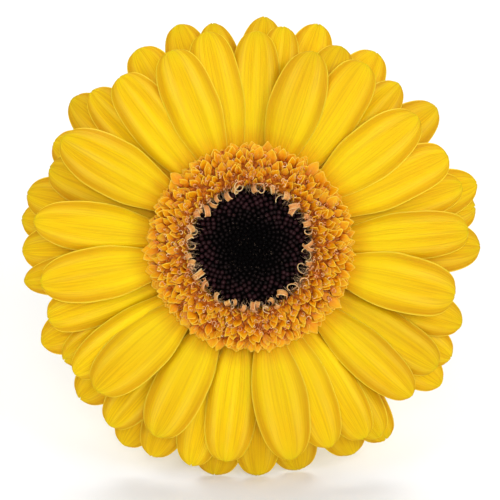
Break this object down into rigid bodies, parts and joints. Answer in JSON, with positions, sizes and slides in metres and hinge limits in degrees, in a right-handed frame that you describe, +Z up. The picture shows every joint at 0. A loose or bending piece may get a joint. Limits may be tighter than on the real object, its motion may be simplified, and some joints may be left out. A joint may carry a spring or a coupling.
{
  "type": "cut gerbera",
  "caption": "Cut gerbera flower with layered strap-shaped rays, an orange floret ring, a dark eye, a green bract cup and a short stem, lying tilted on its lowest rays.",
  "frame": {"origin": "on the table, below the middle of the bounding box of the lying flower", "axes": "+Z up, the face of the head looks towards -Y and up at 28 degrees, the stem runs back along +Y"},
  "size_m": [0.1102, 0.1456, 0.0989],
  "materials": {
    "ray_yellow": "satin",
    "trans_orange": "matte",
    "disc_maroon": "satin",
    "bract_green": "matte",
    "stem_green": "matte"
  },
  "bodies": {
    "root": {"disc_florets": "disc_maroon", "involucre": "bract_green", "ray_back_01": "ray_yellow", "ray_back_02": "ray_yellow", "ray_back_03": "ray_yellow", "ray_back_04": "ray_yellow", "ray_back_05": "ray_yellow", "ray_back_06": "ray_yellow", "ray_back_07": "ray_yellow", "ray_back_08": "ray_yellow", "ray_back_09": "ray_yellow", "ray_back_10": "ray_yellow", "ray_back_11": "ray_yellow", "ray_back_12": "ray_yellow", "ray_back_13": "ray_yellow", "ray_back_14": "ray_yellow", "ray_back_15": "ray_yellow", "ray_back_16": "ray_yellow", "ray_back_17": "ray_yellow", "ray_back_18": "ray_yellow", "ray_back_19": "ray_yellow", "ray_back_20": "ray_yellow", "ray_back_21": "ray_yellow", "ray_front_01": "ray_yellow", "ray_front_02": "ray_yellow", "ray_front_03": "ray_yellow", "ray_front_04": "ray_yellow", "ray_front_05": "ray_yellow", "ray_front_06": "ray_yellow", "ray_front_07": "ray_yellow", "ray_front_08": "ray_yellow", "ray_front_09": "ray_yellow", "ray_front_10": "ray_yellow", "ray_front_11": "ray_yellow", "ray_front_12": "ray_yellow", "ray_front_13": "ray_yellow", "ray_front_14": "ray_yellow", "ray_front_15": "ray_yellow", "ray_front_16": "ray_yellow", "ray_front_17": "ray_yellow", "ray_front_18": "ray_yellow", "ray_front_19": "ray_yellow", "ray_front_20": "ray_yellow", "ray_front_21": "ray_yellow", "ray_front_22": "ray_yellow", "ray_front_23": "ray_yellow", "ray_middle_01": "ray_yellow", "ray_middle_02": "ray_yellow", "ray_middle_03": "ray_yellow", "ray_middle_04": "ray_yellow", "ray_middle_05": "ray_yellow", "ray_middle_06": "ray_yellow", "ray_middle_07": "ray_yellow", "ray_middle_08": "ray_yellow", "ray_middle_09": "ray_yellow", "ray_middle_10": "ray_yellow", "ray_middle_11": "ray_yellow", "ray_middle_12": "ray_yellow", "stem": "stem_green", "trans_florets": "trans_orange"}
  },
  "joints": []
}
